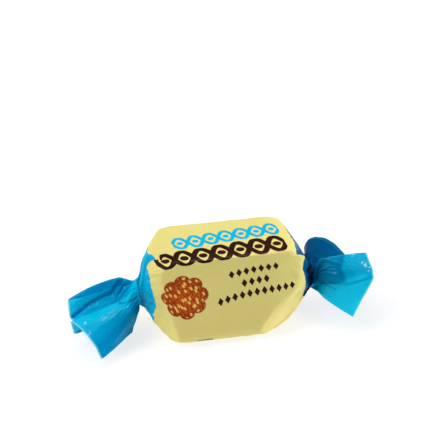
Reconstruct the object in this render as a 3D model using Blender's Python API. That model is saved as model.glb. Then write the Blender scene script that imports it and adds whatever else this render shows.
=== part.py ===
"""Wrapped caramel candy: a soft block in a printed film whose two ends are twisted and flare out.

The candy lies on its flat bottom face, with its long axis along X. The film is one piece: it runs
flat over the block, folds in over each end, is twisted to a narrow neck there, and opens past the
neck into a folded tail. The film of a tail is drawn thicker than the real one, and the wrapped
block is solid.
"""

from collections import namedtuple

import bmesh
import bpy
import numpy as np

MM = 0.001

# The wrapped block, in metres
BLOCK_DEPTH = 0.0176
BLOCK_HEIGHT = 0.0176
EDGE_RADIUS = 0.0030
FLAT_HALF_LENGTH = 0.0060

# Pleats where the film is gathered
PLEATS = 9
PLEAT_HEIGHT = 0.0004
TWIST = 1.9  # radians between the rim and the tip

# Mesh steps
COLUMNS = 48
PROFILE_CUTS = 2
PROFILE_CUT_REACH = 0.0012
FOLD_CUT_REACH = 0.9  # in millimetres, as the folds are
TAIL_ROWS = (0.06, 0.18, 0.34, 0.55, 0.78, 1.0)
TAIL_THICKNESS = 0.0005
SPAN_STEP = 0.0022
SPREAD = 0.85  # under 1, a tail widens fast at its neck and then more slowly

# A fold of a tail: how far its outer end lies from the neck, outwards, across and upwards, and how
# much its middle is raised above the straight line, in millimetres. They follow the film's edge.
Fold = namedtuple("Fold", "out across up lift")

# A station of the wrapped block: its distance from the middle, its half width, and the place of its
# centre, backwards and upwards.
Station = namedtuple("Station", "distance half back up")

# One end of the object: its side along X, its stations and the folds of its tail.
End = namedtuple("End", "side shoulder rim foot waist tip folds")

MIDDLE = BLOCK_HEIGHT / 2
ORIGIN = (0.00115, 0.00132, 0.0)  # the block's own origin, seen from the middle of the footprint
LEFT = End(
    side=-1,
    shoulder=Station(0.0108, 0.0088, 0.0, MIDDLE),
    rim=Station(0.0145, 0.0067, 0.0009, 0.0099),
    foot=Station(0.0153, 0.0030, 0.0, 0.0095),
    waist=Station(0.0160, 0.0019, 0.0, 0.0093),
    tip=Station(0.0174, 0.0013, 0.0, 0.0093),
    folds=(
        Fold(2.7, -6.5, -4.9, -0.4),
        Fold(9.9, -12.4, -7.3, 0.0),
        Fold(14.0, -4.9, -2.5, 0.2),
        Fold(13.3, -2.2, -7.2, -0.2),
        Fold(13.9, 2.7, -2.4, 2.2),
        Fold(12.3, 5.3, -7.6, 0.2),
        Fold(9.3, 9.6, -6.6, 0.6),
        Fold(3.2, 7.0, -5.0, 0.0),
    ),
)
RIGHT = End(
    side=1,
    shoulder=Station(0.0112, 0.0088, 0.0, MIDDLE),
    rim=Station(0.0144, 0.0061, 0.0009, 0.0096),
    foot=Station(0.0152, 0.0028, 0.0, 0.0081),
    waist=Station(0.0160, 0.0019, 0.0, 0.0080),
    tip=Station(0.0174, 0.0013, 0.0, 0.0080),
    folds=(
        Fold(6.2, -11.4, -3.6, -1.2),
        Fold(11.5, -5.9, 1.5, -0.2),
        Fold(11.7, 0.1, 3.6, 1.2),
        Fold(10.8, 3.2, -1.5, 0.2),
        Fold(9.9, 8.7, -1.0, 0.6),
        Fold(4.3, 9.3, 2.9, 0.6),
        Fold(7.6, 7.4, -4.6, 0.0),
        Fold(9.6, 1.6, -5.4, -0.2),
        Fold(6.4, -2.6, -5.8, -0.4),
    ),
)

PRINT_CREAM = (0.83, 0.76, 0.40, 1.0)
FILM_BLUE = (0.0, 0.36, 0.68, 1.0)


def cut_corners(points, cuts, reach):
    """The polyline with each inner corner cut off again and again, which rounds it.

    The first cut starts at most reach from a corner, and each later one at half of the one before.
    """
    points = np.asarray(points, float)
    for _ in range(cuts):
        length = np.linalg.norm(np.diff(points, axis=0), axis=1)
        share = np.minimum(0.25, reach / length)[:, None]
        near = points[:-1] + share * np.diff(points, axis=0)
        far = points[1:] - share * np.diff(points, axis=0)
        inner = np.stack([near, far], axis=1).reshape(-1, points.shape[1])
        points = np.vstack([points[:1], inner[1:-1], points[-1:]])
        reach /= 2
    return points


def rounded_square(turn, half_y, half_z, corner):
    """Points on a rounded rectangle at shares of a turn, from the middle of its bottom towards -Y."""
    flat_y, flat_z = half_y - corner, half_z - corner
    arc = np.pi / 2 * corner
    runs = np.array([flat_y, arc, 2 * flat_z, arc, 2 * flat_y, arc, 2 * flat_z, arc, flat_y])
    ends = np.concatenate([[0.0], np.cumsum(runs)])
    walked = np.mod(turn, 1.0) * ends[-1]
    run = np.clip(np.searchsorted(ends, walked, side="right") - 1, 0, len(runs) - 1)
    share = (walked - ends[run]) / np.maximum(runs[run], 1e-12)
    side = (run + 1) // 2  # quarter turns made before this run
    along = np.where(run == 0, share * flat_y, np.where(run == 8, (share - 1) * flat_y, 0.0))
    across = np.where(side % 2 == 0, flat_y, flat_z)
    depth = np.where(side % 2 == 0, flat_z, flat_y) + corner
    along = np.where((run % 2 == 0) & (run > 0) & (run < 8), (2 * share - 1) * across, along)
    turned = np.where(run % 2 == 1, share * np.pi / 2, 0.0)
    corner_along = np.where(run % 4 == 1, flat_y, flat_z) + corner * np.sin(turned)
    corner_depth = np.where(run % 4 == 1, flat_z, flat_y) + corner * np.cos(turned)
    # A corner belongs to the side before it.
    side = np.where(run % 2 == 1, (run - 1) // 2, side)
    along = np.where(run % 2 == 1, corner_along, along)
    depth = np.where(run % 2 == 1, corner_depth, depth)
    angle = side * np.pi / 2
    y = -along * np.cos(angle) - depth * np.sin(angle)
    z = along * np.sin(angle) - depth * np.cos(angle)
    return y, z


def pleat_wave(turn):
    """A saw-tooth wave of uneven pleats round the film, between -1 and 1."""
    phase = PLEATS * turn + 0.30 * np.sin(4 * np.pi * turn + 1.0) + 0.16 * np.sin(10 * np.pi * turn)
    share = np.mod(phase, 1.0)
    return np.where(share < 0.75, share / 0.75, (1 - share) / 0.25) * 2 - 1


def end_stations(end):
    """The stations from the block's flat part out to the tip, with the corners between them cut."""
    flat = Station(FLAT_HALF_LENGTH, BLOCK_DEPTH / 2, 0.0, MIDDLE)
    corners = [flat, end.shoulder, end.rim, end.foot, end.waist, end.tip]
    return [Station(*row) for row in cut_corners(corners, PROFILE_CUTS, PROFILE_CUT_REACH)]


def ring(end, station):
    """One closed ring of points round the block."""
    full, half = BLOCK_DEPTH / 2, station.half
    gathered = np.clip((full - half) / (full - end.foot.half), 0.0, 1.0)
    roundness = EDGE_RADIUS / full + (0.999 - EDGE_RADIUS / full) * gathered
    turn = np.arange(COLUMNS) / COLUMNS
    y, z = rounded_square(turn, half, half * BLOCK_HEIGHT / BLOCK_DEPTH, half * roundness)
    height = PLEAT_HEIGHT * min(1.0, 2.2 * gathered) * pleat_wave(turn)
    swell = 1 + height / np.hypot(y, z)
    twist = (station.distance - end.rim.distance) / (end.tip.distance - end.rim.distance)
    angle = end.side * TWIST * np.clip(twist, 0.0, 1.0)
    y, z = swell * (y * np.cos(angle) - z * np.sin(angle)), swell * (y * np.sin(angle) + z * np.cos(angle))
    return [(end.side * station.distance, station.back + a, station.up + b) for a, b in zip(y, z)]


def wrapped_block():
    """The block in its film, with both necks, as one closed mesh."""
    rings = [ring(LEFT, station) for station in end_stations(LEFT)[::-1]]
    rings += [ring(RIGHT, station) for station in end_stations(RIGHT)]
    mesh = bmesh.new()
    loops = [[mesh.verts.new(point) for point in points] for points in rings]
    for near, far in zip(loops, loops[1:]):
        for i in range(COLUMNS):
            j = (i + 1) % COLUMNS
            mesh.faces.new((near[i], near[j], far[j], far[i]))
    for end, loop in ((LEFT, loops[0]), (RIGHT, loops[-1])):
        centre = mesh.verts.new((end.side * end.tip.distance, end.tip.back, end.tip.up))
        for i in range(COLUMNS):
            mesh.faces.new((loop[i], loop[(i + 1) % COLUMNS], centre))
    bmesh.ops.recalc_face_normals(mesh, faces=mesh.faces)
    return mesh


def tail_edge(folds):
    """Points along the film's outer edge, one row per point: out, across, up and lift, in metres."""
    outline = cut_corners(folds, 1, FOLD_CUT_REACH) * MM
    spans = []
    for start, finish in zip(outline, outline[1:]):
        steps = max(1, round(float(np.linalg.norm((finish - start)[:3])) / SPAN_STEP))
        spans.append(start + (finish - start) * np.arange(steps)[:, None] / steps)
    return np.vstack([*spans, outline[-1:]])


def tail_sheet(end):
    """The film of one tail, as an open sheet that starts inside the neck."""
    mesh = bmesh.new()
    weight = mesh.verts.layers.deform.verify()
    rows = []
    for share in TAIL_ROWS:
        row = []
        for out, across, up, lift in tail_edge(end.folds):
            x = end.side * (end.waist.distance + out * share)
            y = end.waist.back + across * share**SPREAD
            z = end.waist.up + up * share**SPREAD + lift * 4 * share * (1 - share)
            vert = mesh.verts.new((x, y, z))
            vert[weight][0] = share
            row.append(vert)
        rows.append(row)
    for near, far in zip(rows, rows[1:]):
        for i in range(len(near) - 1):
            mesh.faces.new((near[i], near[i + 1], far[i + 1], far[i]))
    bmesh.ops.recalc_face_normals(mesh, faces=mesh.faces)
    return mesh


def link_mesh(name, mesh, materials):
    """Makes an object of the mesh, with its materials."""
    data = bpy.data.meshes.new(name)
    mesh.to_mesh(data)
    mesh.free()
    obj = bpy.data.objects.new(name, data)
    for material in materials:
        data.materials.append(material)
    bpy.context.scene.collection.objects.link(obj)
    obj.location = ORIGIN
    return obj


def film_material(name, colour, roughness):
    """A plain plastic film of that colour."""
    material = bpy.data.materials.new(name)
    material.use_nodes = True
    shader = material.node_tree.nodes["Principled BSDF"]
    shader.inputs["Base Color"].default_value = colour
    shader.inputs["Metallic"].default_value = 0.0
    shader.inputs["Roughness"].default_value = roughness
    return material


def main():
    for obj in list(bpy.data.objects):
        bpy.data.objects.remove(obj)
    cream = film_material("cream_print", PRINT_CREAM, 0.42)
    blue = film_material("blue_film", FILM_BLUE, 0.25)

    candy = link_mesh("wrapped_candy", wrapped_block(), (cream, blue))
    for face in candy.data.polygons:
        face.material_index = 1 if abs(face.center.x) > LEFT.rim.distance else 0
    for name, end in (("left_tail", LEFT), ("right_tail", RIGHT)):
        tail = link_mesh(name, tail_sheet(end), (cream, blue))
        for face in tail.data.polygons:
            face.material_index = 1
        group = tail.vertex_groups.new(name="film")
        wall = tail.modifiers.new("film", "SOLIDIFY")
        wall.thickness = TAIL_THICKNESS
        wall.offset = 0.0
        wall.vertex_group = group.name
        tail.hide_render = True
        tail.display_type = "WIRE"
        join = candy.modifiers.new(name, "BOOLEAN")
        join.operation = "UNION"
        join.object = tail
    candy.data.set_sharp_from_angle(angle=0.6)


main()
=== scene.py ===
"""The looks of a soft caramel in its twist wrapper.

One sheet of printed film runs over the block, folds in over each end, is twisted to a narrow neck
there and opens past the neck into a folded tail. Film sizes are in millimetres along the film, and
places are in metres.
"""

from __future__ import annotations

import logging
import math
from dataclasses import dataclass
from enum import Enum
from typing import Union

import bpy
import numpy as np
from mathutils import Matrix, Vector

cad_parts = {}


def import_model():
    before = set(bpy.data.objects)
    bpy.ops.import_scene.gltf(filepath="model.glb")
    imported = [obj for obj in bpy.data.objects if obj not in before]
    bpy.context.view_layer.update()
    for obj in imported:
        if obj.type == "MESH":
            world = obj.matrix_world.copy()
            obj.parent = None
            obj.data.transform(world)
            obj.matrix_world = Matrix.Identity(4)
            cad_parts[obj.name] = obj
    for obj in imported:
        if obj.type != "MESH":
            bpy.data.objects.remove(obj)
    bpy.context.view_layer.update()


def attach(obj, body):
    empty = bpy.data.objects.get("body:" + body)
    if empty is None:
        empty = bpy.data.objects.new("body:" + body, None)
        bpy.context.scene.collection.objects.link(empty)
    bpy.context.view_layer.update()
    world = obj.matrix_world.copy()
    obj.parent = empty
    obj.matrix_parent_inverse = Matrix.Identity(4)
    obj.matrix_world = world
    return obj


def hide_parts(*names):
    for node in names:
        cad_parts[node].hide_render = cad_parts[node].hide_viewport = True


LOG = logging.getLogger("wrapped_candy")
MM = 0.001
FRAME_WIDTH = 440
DOUBLES = 1e-6  # points nearer than this are merged, in metres
ORIGIN = Vector((0.00115, 0.00132, 0.0))  # the block's own origin, from the middle of the footprint


# --- Node trees -------------------------------------------------------------------------------


@dataclass(frozen=True)
class Field:
    """A number that flows through a node tree. Arithmetic on it adds the nodes for it."""

    graph: "Graph"
    socket: bpy.types.NodeSocket

    def __add__(self, other: Value) -> Field:
        """The sum."""
        return self.graph.math("ADD", self, other)

    def __sub__(self, other: Value) -> Field:
        """The difference."""
        return self.graph.math("SUBTRACT", self, other)

    def __rsub__(self, other: Value) -> Field:
        """The difference, from a plain number."""
        return self.graph.math("SUBTRACT", other, self)

    def __mul__(self, other: Value) -> Field:
        """The product."""
        return self.graph.math("MULTIPLY", self, other)

    def __truediv__(self, other: Value) -> Field:
        """The quotient."""
        return self.graph.math("DIVIDE", self, other)

    def __rtruediv__(self, other: Value) -> Field:
        """The quotient, of a plain number."""
        return self.graph.math("DIVIDE", other, self)

    def __pow__(self, other: Value) -> Field:
        """The power."""
        return self.graph.math("POWER", self, other)

    def __abs__(self) -> Field:
        """The size without its sign."""
        return self.graph.math("ABSOLUTE", self)

    __radd__ = __add__
    __rmul__ = __mul__


Value = Union[Field, float]


class Graph:
    """One node tree, to which plain calls add nodes."""

    def __init__(self, tree: bpy.types.NodeTree) -> None:
        """Takes the tree."""
        self.tree = tree

    def node(self, kind: str, *values: object, **settings: object) -> bpy.types.Node:
        """Adds a node.

        Args:
            kind: The node's type name.
            values: What goes into its inputs, in order. None leaves one alone.
            settings: The node's own properties.

        Returns:
            The new node.
        """
        made = self.tree.nodes.new(kind)
        for name, setting in settings.items():
            setattr(made, name, setting)
        for slot, value in zip([i for i in made.inputs if i.enabled], values):
            self.feed(slot, value)
        return made

    def feed(self, slot: bpy.types.NodeSocket, value: object) -> None:
        """Puts a value into an input.

        Args:
            slot: The input.
            value: A field, a socket or a plain value. None leaves the input alone.
        """
        if isinstance(value, Field):
            value = value.socket
        if isinstance(value, bpy.types.NodeSocket):
            self.tree.links.new(value, slot)
        elif value is not None:
            slot.default_value = value

    def math(self, operation: str, *values: Value) -> Field:
        """The result of one math operation on fields or numbers."""
        return Field(self, self.node("ShaderNodeMath", *values, operation=operation).outputs[0])

    def vector_math(self, operation: str, *values: object) -> bpy.types.Node:
        """A vector math node on those values."""
        return self.node("ShaderNodeVectorMath", *values, operation=operation)

    def vector(self, x: Value, y: Value, z: Value) -> bpy.types.NodeSocket:
        """A vector of three numbers."""
        return self.node("ShaderNodeCombineXYZ", x, y, z).outputs[0]

    def split(self, vector: object) -> tuple[Field, Field, Field]:
        """The three numbers of a vector."""
        x, y, z = self.node("ShaderNodeSeparateXYZ", vector).outputs
        return Field(self, x), Field(self, y), Field(self, z)

    def smooth(self, value: Value, low: Value, high: Value) -> Field:
        """A soft step: 0 up to low and 1 from high on."""
        node = self.node("ShaderNodeMapRange", value, low, high, interpolation_type="SMOOTHSTEP")
        return Field(self, node.outputs[0])

    def mix(self, start: Value, end: Value, share: Value) -> Field:
        """The number that lies at a share of the way from start to end."""
        node = self.node("ShaderNodeMix", share, start, end, data_type="FLOAT")
        return Field(self, node.outputs[0])

    def blend(self, start: object, end: object, share: Value) -> bpy.types.NodeSocket:
        """The colour that lies at a share of the way from start to end."""
        node = self.node("ShaderNodeMix", share, start, end, data_type="RGBA")
        return node.outputs[2]

    def rhythm(self, share: Value, points: tuple[tuple[float, float], ...]) -> Field:
        """A level between 0 and 1 that runs straight from point to point.

        Args:
            share: Where it is read, between 0 and 1.
            points: Each point's place and level, in order.

        Returns:
            The level there.
        """
        node = self.node("ShaderNodeFloatCurve", 1.0, share)
        line = node.mapping.curves[0]
        line.points[0].location, line.points[1].location = points[0], points[-1]
        for place, level in points[1:-1]:
            line.points.new(place, level)
        for point in line.points:
            point.handle_type = "VECTOR"
        node.mapping.update()
        return Field(self, node.outputs[0])

    def noise(self, place: object, scale: float, detail: float = 2.0) -> Field:
        """Soft noise.

        Args:
            place: Where it is read.
            scale: How many of its clouds there are in one unit.
            detail: How many finer levels it has.

        Returns:
            A level between 0 and 1.
        """
        node = self.node("ShaderNodeTexNoise")
        self.feed(node.inputs["Vector"], place)
        self.feed(node.inputs["Scale"], scale)
        self.feed(node.inputs["Detail"], detail)
        return Field(self, node.outputs[0])

    def pleats(self, phase: Field, rise: float) -> Field:
        """A wave of sharp folds between -1 and 1, which rises over that share of each fold."""
        share = self.math("FRACT", phase)
        return self.math("MINIMUM", share / rise, (1.0 - share) / (1.0 - rise)) * 2.0 - 1.0

    def crumple(self, film: object, cell: float) -> Field:
        """Relief of film that was crumpled and smoothed again: flat facets with sharp creases.

        Args:
            film: The place on the film, in millimetres.
            cell: The usual width of a facet, in millimetres.

        Returns:
            The height, in millimetres, for a slope of 1.
        """
        drift = self.node("ShaderNodeTexNoise", normalize=False)
        self.feed(drift.inputs["Vector"], film)
        self.feed(drift.inputs["Scale"], 0.6 / cell)
        moved = self.vector_math("SCALE", drift.outputs["Color"])
        moved.inputs["Scale"].default_value = 0.9 * cell
        place = self.vector_math("ADD", film, moved.outputs[0]).outputs[0]
        settings = {"voronoi_dimensions": "2D"}
        edge = self.node("ShaderNodeTexVoronoi", feature="DISTANCE_TO_EDGE", **settings)
        facet = self.node("ShaderNodeTexVoronoi", feature="F1", **settings)
        for node in (edge, facet):
            self.feed(node.inputs["Vector"], place)
            self.feed(node.inputs["Scale"], 1.0 / cell)
        sign = self.split(facet.outputs["Color"])[0] * 2.0 - 1.0
        return Field(self, edge.outputs["Distance"]) * sign * cell


class ShapeTree(Graph):
    """A tree of Geometry Nodes with named inputs, which makes one piece from a guide line."""

    def __init__(self, name: str, inputs: dict[str, float]) -> None:
        """Starts the tree.

        Args:
            name: The tree's name.
            inputs: Its numbers, by name.
        """
        tree = bpy.data.node_groups.new(name, "GeometryNodeTree")
        super().__init__(tree)
        self.values: dict[str, float] = {}
        tree.interface.new_socket("Geometry", in_out="INPUT", socket_type="NodeSocketGeometry")
        tree.interface.new_socket("Geometry", in_out="OUTPUT", socket_type="NodeSocketGeometry")
        for label, value in inputs.items():
            whole = isinstance(value, int)
            kind = "NodeSocketInt" if whole else "NodeSocketFloat"
            socket = tree.interface.new_socket(label, in_out="INPUT", socket_type=kind)
            self.values[socket.identifier] = value
        self.source = tree.nodes.new("NodeGroupInput")
        self.sink = tree.nodes.new("NodeGroupOutput")

    def input(self, name: str) -> Field:
        """One of the tree's named numbers."""
        return Field(self, self.source.outputs[name])

    def grid(self) -> tuple[bpy.types.NodeSocket, Field, Field]:
        """A grid of the tree's columns and rows.

        Returns:
            The grid, and the share of the way across it and down it at each point.
        """
        columns, rows = self.source.outputs["Columns"], self.source.outputs["Rows"]
        mesh = self.node("GeometryNodeMeshGrid", 1.0, 1.0, columns, rows).outputs[0]
        x, y, _ = self.split(self.node("GeometryNodeInputPosition").outputs[0])
        held = self.keep(mesh, "across", x + 0.5)
        held = self.keep(held, "down", y + 0.5)
        return held, self.kept("across"), self.kept("down")

    def keep(
        self, mesh: object, name: str, value: object, kind: str = "FLOAT", domain: str = "POINT"
    ) -> bpy.types.NodeSocket:
        """Stores a value at each point or face corner.

        Args:
            mesh: The mesh.
            name: The name to store it under.
            value: The value.
            kind: Its data type.
            domain: POINT or CORNER.

        Returns:
            The mesh that holds it.
        """
        node = self.node("GeometryNodeStoreNamedAttribute", data_type=kind, domain=domain)
        for slot, given in (("Geometry", mesh), ("Name", name), ("Value", value)):
            self.feed(next(i for i in node.inputs if i.name == slot and i.enabled), given)
        return node.outputs[0]

    def kept(self, name: str) -> Field:
        """A number stored at each point."""
        node = self.node("GeometryNodeInputNamedAttribute", name, data_type="FLOAT")
        return Field(self, node.outputs[0])

    def guide(self, name: str, share: Field) -> tuple[bpy.types.Node, bpy.types.NodeSocket]:
        """Reads the guide line at a share of its length.

        Args:
            name: The vector that the line stores at its points.
            share: The share of its length.

        Returns:
            The sampling node, and that vector there.
        """
        curve = self.node("GeometryNodeMeshToCurve", self.source.outputs["Geometry"]).outputs[0]
        stored = self.node("GeometryNodeInputNamedAttribute", name, data_type="FLOAT_VECTOR")
        node = self.node("GeometryNodeSampleCurve", mode="FACTOR", data_type="FLOAT_VECTOR")
        wanted = {"Curves": curve, "Value": stored.outputs[0], "Factor": share}
        for slot in (i for i in node.inputs if i.enabled and i.name in wanted):
            self.feed(slot, wanted[slot.name])
        return node, next(o for o in node.outputs if o.enabled and o.name == "Value")

    def place(self, mesh: object, position: object) -> bpy.types.NodeSocket:
        """The mesh with its points at those places."""
        return self.node("GeometryNodeSetPosition", mesh, None, position).outputs[0]

    def raise_by(self, mesh: object, height: Field) -> bpy.types.NodeSocket:
        """Moves the points out along their normals.

        Args:
            mesh: The mesh.
            height: How far each point moves, in metres.

        Returns:
            The moved mesh.
        """
        normal = self.node("GeometryNodeInputNormal").outputs[0]
        offset = self.vector_math("SCALE", normal)
        self.feed(offset.inputs["Scale"], height)
        return self.node("GeometryNodeSetPosition", mesh, None, None, offset.outputs[0]).outputs[0]

    def finish(self, mesh: object, material: bpy.types.Material) -> None:
        """Ends the tree with smooth faces.

        Args:
            mesh: The mesh that the tree gives.
            material: The material of its faces.
        """
        smooth = self.node("GeometryNodeSetShadeSmooth", mesh).outputs[0]
        real = self.node("GeometryNodeRealizeInstances", smooth).outputs[0]
        dressed = self.node("GeometryNodeSetMaterial", real, None, material).outputs[0]
        self.tree.links.new(dressed, self.sink.inputs[0])


@dataclass(frozen=True)
class Span:
    """A stretch over which something sets in; where it ends before it starts, it dies away."""

    start: float
    full: float

    def of(self, graph: Graph, value: Field) -> Field:
        """How far it has set in at a value: 0 up to the start, and 1 from the full on."""
        return graph.smooth(value, self.start, self.full)


@dataclass(frozen=True)
class Crumple:
    """One pattern of crumples: the width of its facets and its depth, in millimetres."""

    cell: float
    depth: float
    layer: float = 0.0  # sets it apart from the patterns of other layers
    stretch: float = 1.0  # below 1, its facets are long along the film

    def relief(self, graph: Graph, around: Field, along: Field) -> Field:
        """Its height at a place on the film, in millimetres."""
        place = graph.vector(around, along * self.stretch, self.layer)
        return graph.crumple(place, self.cell) * self.depth


def guide_line(name: str, points: np.ndarray, label: str, vectors: np.ndarray) -> bpy.types.Object:
    """A line of edges that a shape tree reads.

    Args:
        name: The object's name.
        points: Its points.
        label: The name of what it stores at them.
        vectors: The vector stored at each point.

    Returns:
        The object.
    """
    mesh = bpy.data.meshes.new(name)
    mesh.from_pydata(points.tolist(), [(i, i + 1) for i in range(len(points) - 1)], [])
    stored = mesh.attributes.new(label, "FLOAT_VECTOR", "POINT")
    stored.data.foreach_set("vector", np.ascontiguousarray(vectors, np.float32).ravel())
    piece = bpy.data.objects.new(name, mesh)
    bpy.context.scene.collection.objects.link(piece)
    return piece


def grow(piece: bpy.types.Object, shape: ShapeTree) -> bpy.types.Object:
    """Turns a guide line into the plain mesh that its shape tree makes of it.

    Args:
        piece: The guide line.
        shape: The tree.

    Returns:
        The same object, with its finished mesh.
    """
    modifier = piece.modifiers.new(shape.tree.name, "NODES")
    modifier.node_group = shape.tree
    for identifier, value in shape.values.items():
        modifier[identifier] = value
    graph = bpy.context.evaluated_depsgraph_get()
    mesh = bpy.data.meshes.new_from_object(
        piece.evaluated_get(graph), preserve_all_data_layers=True, depsgraph=graph
    )
    piece.modifiers.clear()
    piece.data = mesh
    return piece


# --- Sizes ------------------------------------------------------------------------------------


class Side(Enum):
    """An end of the candy, by its side along X."""

    LEFT = -1
    RIGHT = 1


@dataclass(frozen=True)
class Station:
    """A ring of film round the block: its distance from the middle, half width and centre."""

    distance: float
    half: float
    back: float
    up: float


@dataclass(frozen=True)
class Fold:
    """A fold of a tail, in millimetres: its outer end from the neck, its lift, and its layer count of
    film with painted shade added to it.
    """

    out: float
    across: float
    up: float
    lift: float
    layers: float = 0.0


@dataclass(frozen=True)
class Crease:
    """A groove in a tail that runs outwards from the neck, with its sizes in millimetres."""

    path: tuple[tuple[float, float], ...]  # share of the way out, and share of the way round there
    before: float  # width of its slope on the lower side round
    after: float
    depth: float  # a ridge's is below 0
    start: float = 0.0
    stop: float = 1.0


@dataclass(frozen=True)
class End:
    """One end: its stations from the shoulder to the tip, its pleats and its tail's folds."""

    side: Side
    shoulder: Station
    rim: Station
    foot: Station
    waist: Station
    tip: Station
    pleats: tuple[tuple[float, float], ...]  # share of a turn from below, and level there
    flare: float  # the tail's width just past its neck, as a share of its full width
    setback: float  # how far the tail leans back over its neck, in millimetres
    shade: float  # painted shade in the neck, added to the film's layer count
    clear: float  # how far out of the neck no painted shade from the fold behind is laid on, as a share
    grip: tuple[tuple[float, float], ...]  # how strongly the twist gathers it, by place round it
    tuck: float  # round the film, where its corner is tucked under
    fan: float  # how far round the fold from there runs, as a share, for each millimetre inwards
    folds: tuple[Fold, ...]
    creases: tuple[Crease, ...]
    behind: tuple[tuple[float, float], ...]  # round the film, how far out a fold lies behind it; painted shade is laid on there
    slip: tuple[tuple[float, float], ...]  # how far the print is gathered, round the film


@dataclass(frozen=True)
class Press:
    """A flat that the soft block has been pressed to: a plane, by its normal and one point.

    The point and the softness of the turn on to it are in millimetres.
    """

    normal: tuple[float, float, float]
    point: tuple[float, float, float]
    soft: float = 0.8


HEIGHT = 0.0176
LEFT = End(
    side=Side.LEFT,
    shoulder=Station(0.0108, 0.0088, 0.0, HEIGHT / 2),
    rim=Station(0.0145, 0.0067, 0.0009, 0.0097),
    foot=Station(0.0153, 0.0036, 0.0, 0.0090),
    waist=Station(0.0161, 0.0027, 0.0, 0.0086),
    tip=Station(0.0172, 0.0018, 0.0, 0.0086),
    pleats=(
        (0.0, 0.55), (0.05, 0.10), (0.09, 0.80), (0.15, 0.62), (0.425, 0.70), (0.447, 0.0),
        (0.47, 0.75), (0.56, 0.40), (0.64, 0.75), (0.67, 0.10), (0.80, 0.80), (0.84, 0.15),
        (0.93, 0.9), (1.0, 0.55),
    ),
    flare=0.16,
    setback=0.2,
    shade=-0.1,
    clear=0.32,
    grip=((0.0, 1.0), (0.17, 0.8), (0.21, 0.35), (0.31, 0.35), (0.36, 1.0), (1.0, 1.0)),
    tuck=0.434,
    fan=-0.006,
    # Each fold's last number is its layer count of film, with painted shade added to it.
    folds=(
        Fold(2.6, -4.8, -5.9, 0.0, 1.0),
        Fold(9.4, -12.0, -6.4, 0.0, 0.9),
        Fold(10.0, -11.0, -4.5, 0.2, 0.9),
        Fold(11.3, -9.2, -2.8, 0.3, 0.4),
        Fold(12.6, -7.0, -2.0, 0.3, 0.0),
        Fold(14.0, -4.9, -1.8, 0.2, 0.0),
        Fold(13.3, -2.4, -6.3, -0.2, 0.0),
        Fold(11.7, -2.6, -5.7, -0.4, 0.1),
        Fold(13.7, 0.3, -4.3, 0.4, 0.5),
        Fold(13.6, 2.9, -1.8, 3.6, 0.0),
        Fold(12.3, 5.3, -6.9, 0.8, 1.0),
        Fold(9.3, 9.6, -5.9, 0.6, 0.4),
        Fold(3.2, 7.0, -4.3, 0.0, 1.0),
    ),
    creases=(
        Crease(
            ((0.0, 0.66), (0.31, 0.635), (0.40, 0.613), (0.74, 0.606), (0.96, 0.587), (1.0, 0.585)),
            0.9, 0.5, 0.55, start=0.20,
        ),
        Crease(
            ((0.0, 0.258), (0.17, 0.279), (0.31, 0.365), (1.0, 0.41)),
            0.5, 0.3, 0.5, start=0.05, stop=0.30,
        ),
        Crease(
            ((0.0, 0.40), (0.19, 0.387), (0.30, 0.43), (1.0, 0.43)),
            0.35, 0.25, 0.4, start=0.06, stop=0.26,
        ),
        Crease(
            ((0.0, 0.60), (0.22, 0.623), (0.33, 0.60), (1.0, 0.60)),
            0.4, 0.3, 0.4, start=0.06, stop=0.30,
        ),
        Crease(
            ((0.0, 0.33), (0.15, 0.35), (0.25, 0.32), (1.0, 0.32)),
            0.4, 0.4, -0.35, start=0.06, stop=0.22,
        ),
        Crease(
            ((0.0, 0.50), (0.20, 0.53), (0.30, 0.52), (1.0, 0.52)),
            0.3, 0.5, 0.35, start=0.06, stop=0.24,
        ),
    ),
    behind=(
        (0.0, 0.0), (0.624, 0.0), (0.630, 0.45), (0.636, 0.80), (0.655, 1.03), (0.675, 1.03),
        (0.685, 0.0), (1.0, 0.0),
    ),
    slip=(
        (0.0, 0.5), (0.06, 0.5), (0.11, 0.30), (0.17, 0.32), (0.24, 0.5), (0.36, 0.5),
        (0.422, 0.45), (0.444, 0.84), (0.460, 0.84), (0.476, 0.68), (0.51, 0.66), (0.56, 0.70),
        (0.62, 0.5), (1.0, 0.5),
    ),
)
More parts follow.
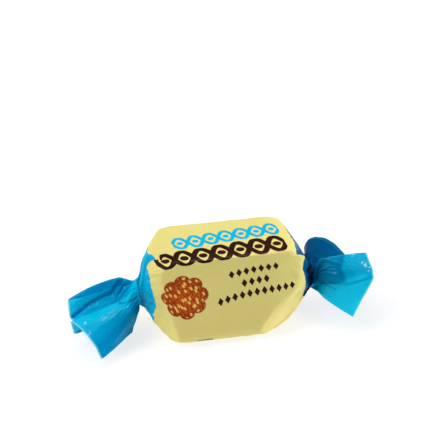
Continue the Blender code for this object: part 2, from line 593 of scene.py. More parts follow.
RIGHT = End(
    side=Side.RIGHT,
    shoulder=Station(0.0112, 0.0088, 0.0, HEIGHT / 2),
    rim=Station(0.0144, 0.0061, 0.0009, 0.0096),
    foot=Station(0.0152, 0.0038, 0.0, 0.0082),
    waist=Station(0.0161, 0.0027, 0.0, 0.0080),
    tip=Station(0.0172, 0.0018, 0.0, 0.0080),
    pleats=(
        (0.0, 0.6), (0.07, 0.85), (0.10, 0.1), (0.20, 0.75), (0.33, 0.5), (0.36, 0.95),
        (0.40, 0.1), (0.50, 0.8), (0.60, 0.5), (0.63, 0.95), (0.67, 0.05), (0.82, 0.8),
        (0.86, 0.1), (0.94, 0.8), (1.0, 0.6),
    ),
    flare=0.22,
    setback=0.8,
    shade=3.0,
    clear=0.02,
    grip=((0.0, 0.3), (0.14, 0.3), (0.20, 1.0), (0.94, 1.0), (1.0, 0.3)),
    tuck=0.388,
    fan=-0.0075,
    # Each fold's last number is its layer count of film with painted shade; the lobe's are highest,
    # as painted shade for the block's shadow over it.
    folds=(
        Fold(6.2, -11.4, -3.6, -0.4, 0.0),
        Fold(11.6, -6.1, 1.2, -1.3, 0.2),
        Fold(11.9, -4.2, 2.0, 0.2, 0.6),
        Fold(11.7, 0.1, 3.6, 1.3, 0.2),
        Fold(10.8, 3.2, -1.5, 0.2, 1.0),
        Fold(9.5, 7.7, -0.6, 0.5, 2.4),
        Fold(7.6, 8.4, 1.5, 0.8, 2.8),
        Fold(5.8, 9.0, 2.6, 0.8, 2.9),
        Fold(3.8, 9.2, 3.0, 0.8, 3.0),
        Fold(2.5, 9.0, 2.8, 0.6, 3.0),
        Fold(1.7, 8.6, 2.2, 0.4, 3.0),
        Fold(1.2, 7.8, 1.3, 0.2, 3.0),
        Fold(7.6, 7.4, -4.6, 0.0, 1.0),
        Fold(9.6, 1.6, -5.4, -0.2, 0.8),
        Fold(6.4, -2.6, -5.8, -0.4, 0.6),
    ),
    creases=(
        Crease(
            ((0.0, 0.20), (0.20, 0.193), (0.32, 0.172), (0.56, 0.148), (0.68, 0.150), (1.0, 0.168)),
            0.6, 1.1, 0.38, start=0.10,
        ),
        Crease(
            ((0.0, 0.24), (0.24, 0.282), (0.38, 0.251), (0.6, 0.22), (1.0, 0.2)),
            0.6, 0.5, 0.4, start=0.08, stop=0.46,
        ),
        Crease(
            ((0.0, 0.22), (0.20, 0.21), (0.32, 0.192), (0.5, 0.18), (1.0, 0.18)),
            0.3, 0.3, 0.22, start=0.12, stop=0.44,
        ),
        Crease(
            ((0.0, 0.245), (0.20, 0.232), (0.34, 0.205), (1.0, 0.2)),
            0.25, 0.35, 0.25, start=0.10, stop=0.38,
        ),
        Crease(
            ((0.0, 0.15), (0.22, 0.16), (0.34, 0.12), (0.5, 0.10), (1.0, 0.1)),
            0.3, 0.3, -0.22, start=0.16, stop=0.44,
        ),
    ),
    behind=(
        (0.0, 0.0), (0.142, 0.0), (0.150, 0.584), (0.21, 0.52), (0.267, 0.626), (0.29, 0.66),
        (0.30, 0.0), (1.0, 0.0),
    ),
    slip=(
        (0.0, 0.5), (0.04, 0.38), (0.09, 0.20), (0.14, 0.20), (0.22, 0.28), (0.30, 0.46),
        (0.385, 0.42), (0.397, 0.68), (0.46, 0.66), (0.56, 0.54), (1.0, 0.5),
    ),
)
PRESSES = (
    Press((0.0, 0.0, -1.0), (0.0, 0.0, 0.24), 0.05),
    Press((0.84, 0.06, 0.54), (15.1, 0.4, 13.2), 0.2),
    Press((0.58, -0.72, -0.38), (7.5, -8.8, 5.2), 0.25),
    Press((0.46, -0.83, -0.31), (6.7, -8.8, 5.0), 0.15),
    Press((-0.835, 0.381, 0.397), (-14.5, 0.5, 17.6), 0.6),
    Press((0.75, -0.50, -0.44), (11.5, -8.8, 6.0), 0.8),
    Press((-0.83, -0.51, -0.22), (-9.9, -8.3, 0.3), 0.2),
    Press((0.0, -0.5, -0.87), (0.0, -8.8, 0.35), 0.1),
    Press((-0.012, -0.985, 0.17), (0.0, -8.75, 5.0), 0.6),
    Press((0.25, -0.955, 0.16), (9.3, -7.95, 9.0), 0.9),
    Press((-0.62, -0.78, 0.0), (-13.5, -8.8, 8.0), 0.3),
)


def rounded(points: np.ndarray, cuts: int, reach: float) -> np.ndarray:
    """A line with its inner corners cut again and again, which rounds them.

    Args:
        points: The line's points, with any number of values each.
        cuts: How many times.
        reach: How far from a corner the first cut may start, by the first three values.

    Returns:
        The points of the rounded line.
    """
    for _ in range(cuts):
        step = np.diff(points, axis=0)
        share = np.minimum(0.25, reach / np.linalg.norm(step[:, :3], axis=1))[:, None]
        pairs = np.stack([points[:-1] + share * step, points[1:] - share * step], axis=1)
        inner = pairs.reshape(-1, points.shape[1])[1:-1]
        points = np.vstack([points[:1], inner, points[-1:]])
        reach /= 2
    return points


# --- Finishes ---------------------------------------------------------------------------------


class Ink(Enum):
    """The inks of the print and the dyed film, as linear colours."""

    CREAM = (0.82, 0.725, 0.25, 1.0)
    CREAM_SHADE = (0.79, 0.675, 0.21, 1.0)
    FILM = (0.0, 0.50, 0.76, 1.0)
    # painted highlight along the film's cut edge
    FILM_EDGE_HIGHLIGHT = (0.22, 0.76, 0.95, 1.0)
    HEM = (0.01, 0.21, 0.36, 1.0)
    SKY = (0.0, 0.47, 0.74, 1.0)
    COCOA = (0.030, 0.006, 0.003, 1.0)
    CARAMEL = (0.56, 0.085, 0.004, 1.0)
    CARAMEL_DEEP = (0.27, 0.022, 0.004, 1.0)
    AMBER = (0.75, 0.24, 0.02, 1.0)
    HONEY = (0.90, 0.55, 0.12, 1.0)
    TEAL = (0.03, 0.16, 0.19, 1.0)


@dataclass(frozen=True)
class Gloss:
    """How a film shines: its roughness, how much it reflects, and the depth of its fine creases."""

    rough: float
    ior: float
    creases: float
    grain: float
    smudge: float = 0.16
    dyed_ior: float = 1.12


@dataclass(frozen=True)
class Garland:
    """Two waving strands that cross, with a dot in each eye: its place and sizes in millimetres."""

    middle: float
    up: float
    eyes: int
    pitch: float
    height: float
    stroke: float
    dot: float

    def mask(self, graph: Graph, along: Field, up: Field) -> Field:
        """Where the garland is printed.

        Args:
            graph: The material's tree.
            along: The place along the film, in millimetres.
            up: The place round the film, in millimetres.

        Returns:
            1 in its strands and dots, and 0 elsewhere.
        """
        count = (along - self.middle) / self.pitch + self.eyes / 2.0
        level = up - self.up
        wave = graph.math("SINE", count * math.pi) * self.height
        slope = graph.math("COSINE", count * math.pi) * (self.height * math.pi / self.pitch)
        width = graph.math("SQRT", slope * slope + 1.0) * self.stroke
        strands = graph.math("MINIMUM", abs(level - wave), abs(level + wave)) - width
        eye = (graph.math("FRACT", count) - 0.5) * self.pitch
        dots = graph.math("SQRT", eye * eye + level * level) - self.dot
        shape = graph.smooth(graph.math("MINIMUM", strands, dots), 0.06, -0.06)
        half_length = self.eyes * self.pitch / 2.0
        ends = graph.smooth(abs(along - self.middle), half_length + 0.06, half_length - 0.06)
        return shape * ends


@dataclass(frozen=True)
class Lozenges:
    """A bowed row of small lozenges: its place and sizes in millimetres."""

    middle: float
    up: float
    count: int
    bow: float = 0.012
    pitch: float = 1.42
    half_width: float = 0.56
    half_height: float = 0.86

    def mask(self, graph: Graph, along: Field, up: Field) -> Field:
        """Where the row is printed.

        Args:
            graph: The material's tree.
            along: The place along the film, in millimetres.
            up: The place round the film, in millimetres.

        Returns:
            1 in its lozenges, and 0 elsewhere.
        """
        place = along - self.middle
        level = up - self.up + place * place * self.bow
        step = (graph.math("FRACT", place / self.pitch + self.count / 2.0) - 0.5) * self.pitch
        shape = abs(step) / self.half_width + abs(level) / self.half_height
        half_length = self.count * self.pitch / 2.0
        ends = graph.smooth(abs(place), half_length + 0.01, half_length - 0.01)
        return graph.smooth(shape, 1.08, 0.92) * ends


@dataclass(frozen=True)
class Rosette:
    """A caramel flower strewn with honey flakes: its place and radius in millimetres."""

    middle: float
    up: float
    radius: float
    petals: int = 8

    def paint(self, graph: Graph, colour: object, along: Field, up: Field) -> bpy.types.NodeSocket:
        """Prints the flower over a colour.

        Args:
            graph: The material's tree.
            colour: What lies under it.
            along: The place along the film, in millimetres.
            up: The place round the film, in millimetres.

        Returns:
            The colour with the flower.
        """
        across, rise = along - self.middle, up - self.up
        distance = graph.math("SQRT", across * across + rise * rise) / self.radius
        angle = graph.math("ARCTAN2", rise, across)
        wave = abs(graph.math("COSINE", angle * (self.petals / 2.0)))
        rim = graph.math("SQRT", wave) * 0.20 + 0.80
        inside = graph.smooth(distance - rim, 0.02, -0.02)
        deep = graph.smooth(distance / rim, 0.30, 1.0) * 0.8
        rib = graph.smooth(wave, 0.22, 0.0) * graph.smooth(distance, 0.25, 0.5)
        place = graph.vector(along * 1.5 + up * 0.75, up * 0.75 - along * 0.55, 0.0)
        patches = graph.smooth(graph.noise(place, 0.9, 4.0), 0.46, 0.60) * 0.75
        streaks = graph.smooth(graph.noise(place, 1.6, 3.0), 0.56, 0.66)
        deep = graph.math("MAXIMUM", graph.math("MAXIMUM", deep, rib), patches)
        flower = graph.blend(Ink.CARAMEL.value, Ink.CARAMEL_DEEP.value, deep)
        flower = graph.blend(flower, Ink.AMBER.value, streaks * 0.8)
        cells = graph.node("ShaderNodeTexVoronoi", feature="F1", voronoi_dimensions="2D")
        graph.feed(cells.inputs["Vector"], place)
        graph.feed(cells.inputs["Scale"], 0.66)
        flakes = graph.smooth(Field(graph, cells.outputs["Distance"]), 0.29, 0.20)
        flakes = flakes * graph.smooth(distance / rim, 0.95, 0.88)
        flower = graph.blend(flower, Ink.HONEY.value, flakes)
        return graph.blend(colour, flower, inside)


@dataclass(frozen=True)
class PrintedFilm:
    """The film's finish. The print is a little askew on the block, as it is on a real sweet."""

    name: str
    gloss: Gloss
    half_length: float = 14.95
    offset: float = -0.25
    skew: float = 0.03
    rise: float = 0.10
    level: float = 17.6  # round the film, where the skew turns about
    cut_edge: float = 41.55
    hem: float = 40.7  # along the film, a faint line where it is doubled
    tab_middle: float = -6.2  # a small printed tab, near the front edge below
    tab_up: float = 9.6
    garlands: tuple[tuple[Garland, Ink], ...] = (
        (Garland(2.6, 36.5, 7, 3.0, 1.95, 0.42, 0.60), Ink.SKY),
        (Garland(0.1, 30.7, 7, 3.6, 2.45, 0.60, 0.82), Ink.COCOA),
    )
    rosette: Rosette = Rosette(-8.7, 20.5, 4.5)
    rows: tuple[Lozenges, ...] = (
        Lozenges(4.9, 23.4, 7),
        Lozenges(4.9, 21.05, 4),
        Lozenges(4.9, 18.75, 11),
    )

    def material(self) -> bpy.types.Material:
        """Makes the material, which reads the place on the film stored with its mesh.

        Returns:
            The material.
        """
        material = bpy.data.materials.new(self.name)
        material.use_nodes = True
        graph = Graph(material.node_tree)
        shader = material.node_tree.nodes["Principled BSDF"]
        film = graph.node("ShaderNodeAttribute", attribute_name="film").outputs["Vector"]
        # The film's third number is its layer count, with painted shade added to it.
        around, along, layers = graph.split(film)
        flat = graph.vector(around, along, 0.0)
        square = along + (around - self.level) * self.skew - self.offset
        up = around - along * self.rise
        slant = along + (around - self.level) * self.rise
        printed = self._print(graph, flat, up, slant)
        dyed = self._dyed(graph, flat, along, layers)
        blue = graph.smooth(abs(square), self.half_length - 0.08, self.half_length + 0.08)
        graph.feed(shader.inputs["Base Color"], graph.blend(printed, dyed, blue))
        smudge = graph.noise(flat, 0.9, 4.0)
        rough = (smudge - 0.5) * self.gloss.smudge + self.gloss.rough
        graph.feed(shader.inputs["Roughness"], rough)
        graph.feed(shader.inputs["IOR"], graph.mix(self.gloss.ior, self.gloss.dyed_ior, blue))
        fine = graph.crumple(flat, 1.6) * graph.mix(0.25, 1.0, blue) * self.gloss.creases
        grain = graph.noise(flat, 5.0, 3.0) * self.gloss.grain
        bump = graph.node("ShaderNodeBump")
        graph.feed(bump.inputs["Height"], fine + grain)
        bump.inputs["Distance"].default_value = MM
        bump.inputs["Strength"].default_value = 0.8
        graph.feed(shader.inputs["Normal"], bump.outputs[0])
        return material

    def _dyed(
        self, graph: Graph, flat: object, along: Field, layers: Field
    ) -> bpy.types.NodeSocket:
        """The blue film: each further layer below it takes away a part of the light, and painted
        shade is added to its layer count.

        Args:
            graph: The material's tree.
            flat: The place on the film, in millimetres.
            along: The part of it that runs along the film.
            layers: The layer count of film below, with painted shade added to it.

        Returns:
            Its colour.
        """
        depth = graph.math("MAXIMUM", layers + graph.noise(flat, 0.3, 3.0) * 0.5 - 0.25, 0.0)
        _, green, blue, _ = Ink.FILM.value
        # Painted shade tint: the right end loses more blue with each layer, so its shade is greener.
        passed = graph.mix(0.75, 0.63, graph.smooth(along, -1.0, 1.0))
        colour = graph.vector(
            0.0, graph.math("POWER", 0.52, depth) * green, graph.math("POWER", passed, depth) * blue
        )
        hem = graph.smooth(abs(abs(along) - self.hem), 0.34, 0.10) * graph.smooth(layers, 1.4, 2.4)
        colour = graph.blend(colour, Ink.HEM.value, hem * 0.8)
        # Painted highlight along the cut edge.
        edge = graph.smooth(abs(along), self.cut_edge, self.cut_edge + 0.3)
        return graph.blend(colour, Ink.FILM_EDGE_HIGHLIGHT.value, edge * 0.8)

    def _print(self, graph: Graph, flat: object, up: Field, along: Field) -> bpy.types.NodeSocket:
        """The cream middle with its printed pattern.

        Args:
            graph: The material's tree.
            flat: The place on the film, in millimetres.
            up: The place round the film, along the slant of the print.
            along: The place along the film, square to that.

        Returns:
            Its colour.
        """
        cloud = graph.noise(flat, 0.22, 3.0)
        colour = graph.blend(Ink.CREAM.value, Ink.CREAM_SHADE.value, cloud)
        for garland, ink in self.garlands:
            colour = graph.blend(colour, ink.value, garland.mask(graph, along, up))
        for row in self.rows:
            colour = graph.blend(colour, Ink.COCOA.value, row.mask(graph, along, up))
        tab = graph.smooth(abs(up - self.tab_up), 0.50, 0.40)
        tab = tab * graph.smooth(abs(along - self.tab_middle), 1.6, 1.4)
        colour = graph.blend(colour, Ink.TEAL.value, tab)
        return self.rosette.paint(graph, colour, along, up)


# --- Sub-assemblies ---------------------------------------------------------------------------


@dataclass(frozen=True)
class Spot:
    """Where a point of the film on the block lies, as numbers that flow through its tree."""

    across: Field  # share of a turn round the block, from below
    around: Field  # round the film, in millimetres
    along: Field  # along the film from the middle, in millimetres
    distance: Field  # along X from the middle, in metres
    outer: Field  # the same without its sign
    right: Field  # 0 at the left end and 1 at the right end
    gathered: Field  # 0 on the block and 1 in a neck
    tight: Field  # 1 on the block, and nearly 0 at a neck's tip
    swell: Field  # 0 on the block and 1 where the end's pleats are full


@dataclass(frozen=True)
class BlockWrap:
    """The film over the block, folded in over both ends and twisted to their necks."""

    ends: tuple[End, End] = (LEFT, RIGHT)
    presses: tuple[Press, ...] = PRESSES
    half: float = 0.0088
    flat: float = 0.0060
    corner: float = 6.2  # how square the middle is: 2 is round
    back_corner: float = 13.0
    columns: int = 401
    rows: int = 235
    pleat_height: float = 0.95
    pleating: Span = Span(0.0116, 0.0146)  # this and the next five: from the middle, in metres
    necking: Span = Span(0.0148, 0.0158)
    closing: Span = Span(0.0176, 0.0160)
    twisting: Span = Span(0.0150, 0.0178)
    slipping: Span = Span(0.0122, 0.0138)
    slitting: Span = Span(0.0112, 0.0136)
    neck_pleats: float = 17.0
    lean: float = 0.10
    twist: float = 1.9
    around: float = 70.4
    seam_edge: float = 5.6  # round the film, where its outer edge lies below the block
    seam_start: float = 58.0
    seam_height: float = 0.12
    slip: float = 3.0  # the most that the print is gathered, in millimetres
    broad_crumple: Crumple = Crumple(6.0, 0.055)
    gathered_crumple: Crumple = Crumple(2.2, 0.22)
    end_crumple: Crumple = Crumple(3.1, 0.07)
    fine_crumple: Crumple = Crumple(1.2, 0.12, layer=4.0)
    bruise: Crumple = Crumple(1.7, 0.35, layer=7.0)  # at the left front corner
    bruise_along: Span = Span(-0.0090, -0.0125)
    bruise_below: Span = Span(1.0, 4.0)  # round the film
    bruise_above: Span = Span(17.0, 11.0)
    fold_width: float = 1.5
    fold_height: float = 0.16
    tuck_place: float = 0.0142  # how far from the middle the fold at each tuck begins
    tuck_width: float = 0.7
    tuck_depth: float = 0.55

    def line(self) -> tuple[np.ndarray, np.ndarray]:
        """The film's profile from the left tip to the right tip.

        Returns:
            The distance and half width at each of its points, and the centre there with the
            length of film from the middle.
        """
        halves = []
        for end in self.ends:
            stations = (end.shoulder, end.rim, end.foot, end.waist, end.tip)
            rows = [(self.flat, self.half, 0.0, 0.0, HEIGHT / 2)]
            rows += [(s.distance, s.half, 0.0, s.back, s.up) for s in stations]
            rows.append((end.tip.distance + 0.0002, 0.0, 0.0, end.tip.back, end.tip.up))
            smooth = rounded(np.array(rows), 4, 0.0010)
            smooth[:, 0] *= end.side.value
            halves.append(smooth)
        rows = np.vstack([halves[0][::-1], halves[1]])
        length = np.linalg.norm(np.diff(rows[:, :3], axis=0), axis=1)
        along = np.concatenate([[0.0], np.cumsum(length)])
        along -= np.interp(0.0, rows[:, 0], along)
        return rows[:, :3], np.column_stack([rows[:, 3], rows[:, 4], along])

    def build(self, name: str, material: bpy.types.Material) -> bpy.types.Object:
        """Makes the piece."""
        points, centres = self.line()
        return grow(guide_line(name, points, "centre", centres), self.tree(name, material))

    def tree(self, name: str, material: bpy.types.Material) -> ShapeTree:
        """The rule that runs the film round the block along its profile.

        Args:
            name: The tree's name.
            material: The film.

        Returns:
            The tree.
        """
        g = ShapeTree(
            name,
            {
                "Columns": self.columns,
                "Rows": self.rows,
                "Corner": self.corner,
                "Back corner": self.back_corner,
                "Pleat height": self.pleat_height * MM,
                "Lean": self.lean,
                "Twist": self.twist,
                "Around": self.around,
                "Seam height": self.seam_height,
            },
        )
        mesh, across, down = g.grid()
        line, centre = g.guide("centre", down)
        distance, half, _ = g.split(line.outputs["Position"])
        slope_x, slope_half, _ = g.split(line.outputs["Tangent"])
        back, up, along = g.split(centre)
        along = along / MM
        gathered = g.smooth(half, self.half, self.ends[0].foot.half)
        outer = abs(distance)
        side = g.math("SIGN", distance)
        right = g.smooth(distance, -0.001, 0.001)

        # Pleats: few and broad on the end, and more of them in the neck.
        left, other = (g.rhythm(across, end.pleats) for end in self.ends)
        broad = g.mix(left, other, right) * 2.0 - 1.0
        uneven = g.noise(g.vector(across * 9.0, side, 0.0), 1.0) * 3.0
        narrow = g.pleats(across * self.neck_pleats + uneven, 0.6)
        swell = self.pleating.of(g, outer)
        # This is 0 from 17.6 mm on, and the poles lie at 17.4 mm, so some edges stay open there.
        tight = self.closing.of(g, outer)
        neck = self.necking.of(g, outer) * tight
        height = broad * swell * (1.0 - neck * 0.5) * tight + narrow * neck * 0.22
        height = height * g.input("Pleat height")

        turn = across * 4.0 + 0.5
        quarter = g.math("FLOOR", turn)
        square = g.math("ARCTANGENT", (turn - quarter) * 2.0 - 1.0) * (2.0 / math.pi)
        angle = (quarter + square) * (math.pi / 2)
        corner = g.mix(g.input("Corner"), g.input("Back corner"), g.smooth(across, 0.40, 0.58))
        corner = g.mix(corner, 2.0, g.math("POWER", gathered, 0.8))
        cosine, sine = (abs(g.math(kind, angle)) for kind in ("COSINE", "SINE"))
        reach = half / ((cosine**corner + sine**corner) ** (1.0 / corner))
        reach = reach + height * abs(slope_x)
        turned = angle + broad * swell * g.input("Lean")
        turned = turned + side * g.input("Twist") * self.twisting.of(g, outer)
        x = distance + height * side * abs(slope_half)
        y = back - reach * g.math("SINE", turned)
        z = up - reach * g.math("COSINE", turned)
        for press in self.presses:
            x, y, z = self._pressed(g, press, (x, y, z))
        mesh = g.place(mesh, g.vector(x, y, z))

        around = across * g.input("Around")
        spot = Spot(across, around, along, distance, outer, right, gathered, tight, swell)
        slit = self._slit(g, spot)
        relief = self._crumples(g, spot) + self._folds(g, spot) - slit * tight * self.tuck_depth
        mesh = g.keep(mesh, "relief", relief * g.mix(1.0, 0.6, right * swell) * MM)
        slips = (g.rhythm(across, end.slip) for end in self.ends)
        slip = (g.mix(*slips, right) - 0.5) * side * (2.0 * self.slip)
        along = along + slip * self.slipping.of(g, outer)
        # Painted shade, added to the film's layer count: a little towards the neck, in the valleys of
        # the end's pleats, the end's own neck shade, over the whole right end and in each tuck's
        # slit.
        layers = gathered * 0.15 + (0.5 - broad * 0.5) * swell * g.mix(0.4, 0.8, right)
        layers = layers + neck * g.mix(*(end.shade for end in self.ends), right)
        layers = layers + right * swell * 2.3
        layers = layers + slit * 2.0
        mesh = g.keep(mesh, "film", g.vector(around, along, layers), "FLOAT_VECTOR", "CORNER")
        mesh = g.node("GeometryNodeMergeByDistance", mesh, None, DOUBLES).outputs[0]
        mesh = g.node("GeometryNodeFlipFaces", mesh).outputs[0]
        g.finish(g.raise_by(mesh, g.kept("relief")), material)
        return g

    def _crumples(self, g: ShapeTree, spot: Spot) -> Field:
        """The crumpled film: broad facets on the block, and finer ones towards its ends.

        Args:
            g: The tree.
            spot: Where a point lies.

        Returns:
            The height, in millimetres.
        """
        bruised = self.bruise_along.of(g, spot.distance) * self.bruise_above.of(g, spot.around)
        bruised = bruised * self.bruise_below.of(g, spot.around)
        shares = (
            (self.gathered_crumple, spot.gathered),
            (self.end_crumple, g.smooth(spot.outer, 0.0080, 0.0125)),
            (self.fine_crumple, spot.gathered),
            (self.bruise, bruised),
        )
        relief = self.broad_crumple.relief(g, spot.around, spot.along)
        for crumple, share in shares:
            relief = relief + crumple.relief(g, spot.around, spot.along) * share * spot.tight
        return relief + self._edge_wrinkles(g, spot.around, spot.gathered)

    def _folds(self, g: ShapeTree, spot: Spot) -> Field:
        """The ridge that fans out from each tuck, and the step of the overlap below.

        Args:
            g: The tree.
            spot: Where a point lies.

        Returns:
            The height, in millimetres.
        """
        tuck = g.mix(*(end.tuck for end in self.ends), spot.right)
        inwards = (self.tuck_place - spot.outer) / MM
        fold = tuck + inwards * g.mix(*(end.fan for end in self.ends), spot.right)
        ridge = g.smooth(abs(spot.across - fold) * self.around, self.fold_width, 0.0)
        ridge = ridge * g.smooth(inwards, 8.0, 1.5) * g.smooth(inwards, -0.6, 0.6)
        overlap = g.smooth(spot.around, self.seam_edge + 0.1, self.seam_edge - 0.1)
        overlap = overlap + g.smooth(spot.around, self.seam_start, self.around)
        return ridge * self.fold_height + overlap * g.input("Seam height")

    def _slit(self, g: ShapeTree, spot: Spot) -> Field:
        """The slit where a corner of the film is tucked under.

        Args:
            g: The tree.
            spot: Where a point lies.

        Returns:
            1 in the slit, and 0 away from it.
        """
        tuck = g.mix(*(end.tuck for end in self.ends), spot.right)
        aside = g.smooth(abs(spot.across - tuck) * self.around, self.tuck_width, 0.0)
        return aside * self.slitting.of(g, spot.outer)

    def _pressed(
        self, g: ShapeTree, press: Press, place: tuple[Field, Field, Field]
    ) -> list[Field]:
        """Brings a place back to a press's plane where it lies beyond it.

        Args:
            g: The tree.
            press: The press.
            place: The place, in metres.

        Returns:
            The place after it.
        """
        normal = Vector(press.normal).normalized()
        offset = normal.dot(Vector(press.point)) * MM
        beyond = place[0] * normal.x + place[1] * normal.y + place[2] * normal.z - offset
        over = g.math("SMOOTH_MAX", beyond, 0.0, press.soft * MM)
        return [value - over * share for value, share in zip(place, normal)]

    def _edge_wrinkles(self, g: ShapeTree, around: Field, gathered: Field) -> Field:
        """Small wrinkles where the film turns over the rim.

        Args:
            g: The tree.
            around: The place round the film, in millimetres.
            gathered: How near the neck it is, from 0 to 1.

        Returns:
            The height, in millimetres.
        """
        near = g.smooth(gathered, 0.02, 0.25) * g.smooth(gathered, 0.9, 0.4)
        wave = g.noise(g.vector(around * 0.9, gathered * 1.5, 0.0), 1.0, 2.0) - 0.5
        return wave * near * 0.6


@dataclass(frozen=True)
class Tail:
    """The film past one neck, spread and folded."""

    end: End
    columns: int = 420
    rows: int = 90
    start: float = 0.05
    ring: float = 2.3  # the neck's radius, in millimetres
    spread: float = 0.92
    pleats: int = 13
    pleat_height: float = 0.42
    crumple: float = 0.10  # scales the crumples below
    broad_crumple: Crumple = Crumple(4.2, 0.25)
    flat_crumple: Crumple = Crumple(1.3, 0.12)  # away from the neck
    neck_crumples: tuple[Crumple, ...] = (
        Crumple(1.7, 1.6),
        Crumple(1.3, 3.0, layer=3.0, stretch=0.5),
        Crumple(0.8, 1.8, layer=9.0, stretch=0.4),
    )
    thickness: float = 0.09
    around: float = 70.4
    length: float = 16.0
    neck_along: float = 26.0

    def line(self) -> tuple[np.ndarray, np.ndarray]:
        """The film's cut edge.

        Returns:
            Its points from the neck, and its lift with the place round the film and its layer count,
            painted shade included.
        """
        rows = [(f.out, f.across, f.up, f.lift, f.layers) for f in self.end.folds]
        rows = rounded(np.array(rows), 3, 0.22)
        steps = np.linalg.norm(np.diff(rows[:, :3], axis=0), axis=1)
        length = np.concatenate([[0.0], np.cumsum(steps)])
        around = length / length[-1] * self.around
        return rows[:, :3] * MM, np.column_stack([rows[:, 3] * MM, around, rows[:, 4]])

    def build(self, name: str, material: bpy.types.Material) -> bpy.types.Object:
        """Makes the piece."""
        points, lifts = self.line()
        return grow(guide_line(name, points, "lift", lifts), self.tree(name, material))

    def tree(self, name: str, material: bpy.types.Material) -> ShapeTree:
        """The rule that spreads the film from the neck to its cut edge.

        Args:
            name: The tree's name.
            material: The film.

        Returns:
            The tree.
        """
        side, waist = float(self.end.side.value), self.end.waist
        g = ShapeTree(
            name,
            {
                "Columns": self.columns,
                "Rows": self.rows,
                "Start": self.start,
                "Ring": self.ring * MM,
                "Spread": self.spread,
                "Flare": self.end.flare,
                "Pleats": self.pleats,
                "Pleat height": self.pleat_height * MM,
                "Crumple": self.crumple,
                "Thickness": self.thickness * MM,
            },
        )
        mesh, across, down = g.grid()
        line, lifted = g.guide("lift", across)
        out, sideways, up = g.split(line.outputs["Position"])
        lift, around, layers = g.split(lifted)
        share = g.mix(g.input("Start"), 1.0, down)
        neck = g.smooth(share, 0.30, 0.05)
        spread = g.mix(g.input("Flare"), 1.0, share ** g.input("Spread")) * (1.0 - neck)
        turn = across * (2.0 * math.pi)
        ring = g.input("Ring") * neck
        arch = share**0.45 * (1.0 - share) * (1.0 - neck) * 2.46
        lean = g.smooth(share, 0.05, 0.11) * g.smooth(share, 0.38, 0.12) * (self.end.setback * MM)
        lean = lean * g.smooth(across, 0.12, 0.30)
        x = (out * share - lean) * side + side * waist.distance
        y = sideways * spread - ring * g.math("SINE", turn) + waist.back
        z = up * spread - ring * g.math("COSINE", turn) + lift * arch + waist.up
        mesh = g.place(mesh, g.vector(x, y, z))

        along = (share * self.length + self.neck_along) * side
        uneven = g.noise(g.vector(across * 7.0, share * 1.2, side), 1.0) * 2.4
        wave = g.pleats(across * g.input("Pleats") + uneven, 0.62)
        fine = g.pleats(across * g.input("Pleats") * 2.3 + uneven * 1.7, 0.5)
        near = g.smooth(share, 0.55, 0.12) * g.rhythm(across, self.end.grip)
        height = (wave * near + fine * near * near * 0.45) * spread
        broad = (g.noise(g.vector(across * 6.0, share * 1.5, side + 5.0), 1.0, 1.0) - 0.5) * 0.9
        relief = self.broad_crumple.relief(g, around, along)
        relief = relief + self.flat_crumple.relief(g, around, along) * (1.0 - near)
        for crumple in self.neck_crumples:
            relief = relief + crumple.relief(g, around, along) * near
        raised = height * g.input("Pleat height") + broad * (share * MM)
        groove = self._grooves(g, across, share, spread + neck * 0.15)
        mesh = g.raise_by(mesh, raised + (relief * g.input("Crumple") - groove) * MM)
        # Painted shade near the neck: the end's neck shade, deeper in the pleats' valleys and none
        # low round the film; the folds' layer count and the painted shade from the fold behind are
        # added to it.
        deep = g.smooth(share, 0.34, 0.05) * (self.end.shade + wave * -0.6)
        deep = deep * g.mix(0.0, 1.0, g.smooth(across, 0.14, 0.27))
        layers = layers * g.smooth(share, 0.0, 0.16) + deep + self._behind(g, across, share)
        mesh = g.keep(mesh, "film", g.vector(around, along, layers), "FLOAT_VECTOR")

        # The sheet gets its thickness: one skin raised from it, and itself turned over below.
        wall = g.node("GeometryNodeExtrudeMesh", mesh, mode="FACES")
        g.feed(wall.inputs["Offset Scale"], g.input("Thickness"))
        wall.inputs["Individual"].default_value = False
        below = g.node("GeometryNodeFlipFaces", mesh).outputs[0]
        both = g.node("GeometryNodeJoinGeometry")
        for part in (wall.outputs[0], below):
            g.tree.links.new(part, both.inputs[0])
        closed = g.node("GeometryNodeMergeByDistance", both.outputs[0], None, DOUBLES).outputs[0]
        g.finish(closed, material)
        return g

    def _grooves(self, g: ShapeTree, across: Field, share: Field, spread: Field) -> Value:
        """The tail's creases.

        Args:
            g: The tree.
            across: The share of the way round the film.
            share: The share of the way out from the neck.
            spread: The film's width there, as a share of its full width.

        Returns:
            Their depth, in millimetres.
        """
        groove: Value = 0.0
        for crease in self.end.creases:
            aside = (across - g.rhythm(share, crease.path)) * spread * self.around
            slope = g.math("MINIMUM", 1.0 + aside / crease.before, 1.0 - aside / crease.after)
            fade = g.smooth(share, crease.start, crease.start + 0.06)
            if crease.stop < 1.0:
                fade = fade * g.smooth(share, crease.stop + 0.08, crease.stop)
            groove = groove + g.math("MAXIMUM", slope, 0.0) * fade * crease.depth
        return groove

    def _behind(self, g: ShapeTree, across: Field, share: Field) -> Field:
        """Painted shade where a fold lies behind the film: its extra layer together with the shade
        there, darker still along the fold's edge.

        Args:
            g: The tree.
            across: The share of the way round the film.
            share: The share of the way out from the neck.

        Returns:
            The layer count it adds, painted shade included.
        """
        limit = g.rhythm(across, self.end.behind)
        edge = g.smooth(share, limit - 0.12, limit - 0.03) * 0.3
        behind_shade = g.smooth(share, limit + 0.035, limit - 0.035) * g.smooth(limit, 0.05, 0.3)
        return behind_shade * g.smooth(share, self.end.clear * 0.5, self.end.clear) * (edge + 0.75)


@dataclass(frozen=True)
class Lamp:
    """A soft square light: its place and the length of its side in metres, and its power in watts."""

    name: str
    place: tuple[float, float, float]
    size: float
    power: float
    glossy: bool = True
    diffuse: bool = True


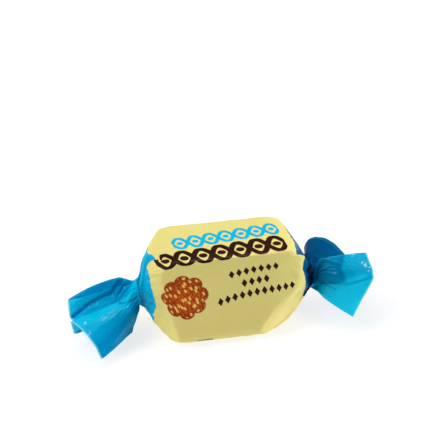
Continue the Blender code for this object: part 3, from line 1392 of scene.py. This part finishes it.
@dataclass(frozen=True)
class Studio:
    """The pale floor, the soft lights and the camera."""

    distance: float = 0.300
    azimuth: float = -10.0
    elevation: float = 30.0
    roll: float = 1.5
    zoom: float = 1575.0  # how wide a metre is drawn from a metre away, in a frame FRAME_WIDTH wide
    sensor: float = 36.0
    place: tuple[float, float] = (4.5, -60.5)
    floor_size: float = 3.0
    floor_shades: tuple[float, float] = (0.29, 0.31)
    floor_rough: float = 0.85
    floor_glow: float = 0.74
    surround: float = 0.06
    lamps: tuple[Lamp, ...] = (
        Lamp("window", (-0.43, -0.08, 0.50), 0.42, 3.0),
        Lamp("overhead", (0.02, 0.16, 0.60), 0.60, 2.1),
        Lamp("fill", (0.46, 0.00, 0.10), 0.25, 2.0, glossy=False),
        Lamp("glint", (0.11, 0.19, 0.70), 0.022, 1.9, diffuse=False),
    )

    def build(self) -> None:
        """Sets everything up round the candy."""
        scene = bpy.context.scene
        scene.view_settings.view_transform = "Standard"
        self._world(scene)
        self._floor()
        self._camera(scene)
        for lamp in self.lamps:
            self._light(lamp)

    def _world(self, scene: bpy.types.Scene) -> None:
        """An even pale surround.

        Args:
            scene: The scene that it lights.
        """
        world = bpy.data.worlds.new("surround")
        world.use_nodes = True
        world.node_tree.nodes["Background"].inputs[0].default_value = (0.95, 0.97, 1.0, 1.0)
        world.node_tree.nodes["Background"].inputs[1].default_value = self.surround
        scene.world = world

    def _floor(self) -> None:
        """The floor, with its own faint unevenness."""
        half = self.floor_size / 2
        mesh = bpy.data.meshes.new("floor")
        corners = [(-half, -half, 0.0), (half, -half, 0.0), (half, half, 0.0), (-half, half, 0.0)]
        mesh.from_pydata(corners, [], [(0, 1, 2, 3)])
        floor = bpy.data.objects.new("floor", mesh)
        bpy.context.scene.collection.objects.link(floor)
        material = bpy.data.materials.new("floor_paper")
        material.use_nodes = True
        graph = Graph(material.node_tree)
        shader = material.node_tree.nodes["Principled BSDF"]
        place = graph.node("ShaderNodeTexCoord").outputs["Object"]
        cloud = graph.noise(place, 6.0)
        dark, light = ((shade, shade, shade, 1.0) for shade in self.floor_shades)
        colour = graph.blend(dark, light, cloud)
        graph.feed(shader.inputs["Base Color"], colour)
        shader.inputs["Roughness"].default_value = self.floor_rough
        shader.inputs["Emission Color"].default_value = (1.0, 1.0, 1.0, 1.0)
        shader.inputs["Emission Strength"].default_value = self.floor_glow
        mesh.materials.append(material)

    def _camera(self, scene: bpy.types.Scene) -> None:
        """The camera, aimed so that the block lies at its place in the frame.

        Args:
            scene: The scene that it films.
        """
        turn, tilt = math.radians(self.azimuth), math.radians(self.elevation)
        away = Vector(
            (math.sin(turn) * math.cos(tilt), -math.cos(turn) * math.cos(tilt), math.sin(tilt))
        )
        level = Vector((math.cos(turn), math.sin(turn), 0.0))
        facing = Matrix((level, away.cross(level), away)).transposed()
        rolled = facing @ Matrix.Rotation(math.radians(-self.roll), 3, "Z")
        sight = Vector((self.place[0] / self.zoom, self.place[1] / self.zoom, -1.0))
        aimed = rolled @ sight.rotation_difference(Vector((0.0, 0.0, -1.0))).to_matrix()
        data = bpy.data.cameras.new("camera")
        data.sensor_width = self.sensor
        data.lens = self.zoom / FRAME_WIDTH * self.sensor
        data.clip_start, data.clip_end = 0.01, 20.0
        camera = bpy.data.objects.new("camera", data)
        middle = ORIGIN + Vector((0.0, 0.0, HEIGHT / 2))
        camera.matrix_world = Matrix.Translation(middle + away * self.distance) @ aimed.to_4x4()
        scene.collection.objects.link(camera)
        scene.camera = camera

    def _light(self, lamp: Lamp) -> None:
        """Sets up a lamp that faces the candy.

        Args:
            lamp: The lamp.
        """
        data = bpy.data.lights.new(lamp.name, "AREA")
        data.shape, data.size, data.energy = "SQUARE", lamp.size, lamp.power
        light = bpy.data.objects.new(lamp.name, data)
        light.location = lamp.place
        light.rotation_euler = Vector(lamp.place).to_track_quat("Z", "Y").to_euler()
        light.visible_glossy = lamp.glossy
        light.visible_diffuse = lamp.diffuse
        bpy.context.scene.collection.objects.link(light)


def settle(piece: bpy.types.Object) -> None:
    """Moves a finished piece to its place over the footprint, in its mesh."""
    piece.data.transform(Matrix.Translation(ORIGIN))
    piece.data.update()


def main() -> None:
    """Builds the candy and its surroundings."""
    logging.basicConfig(level=logging.INFO, format="%(name)s: %(message)s")
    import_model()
    wrap = PrintedFilm("printed_film", Gloss(0.36, 1.17, 0.05, 0.006)).material()
    twist = PrintedFilm("twisted_film", Gloss(0.12, 1.12, 0.09, 0.010, 0.08)).material()
    pieces = [
        BlockWrap().build("block_wrap", wrap),
        Tail(LEFT).build("left_tail", twist),
        Tail(RIGHT).build("right_tail", twist),
    ]
    for piece in pieces:
        settle(piece)
        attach(piece, "root")
        LOG.info("%s: %d faces", piece.name, len(piece.data.polygons))
    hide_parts("wrapped_candy")
    Studio().build()


if __name__ == "__main__":
    main()
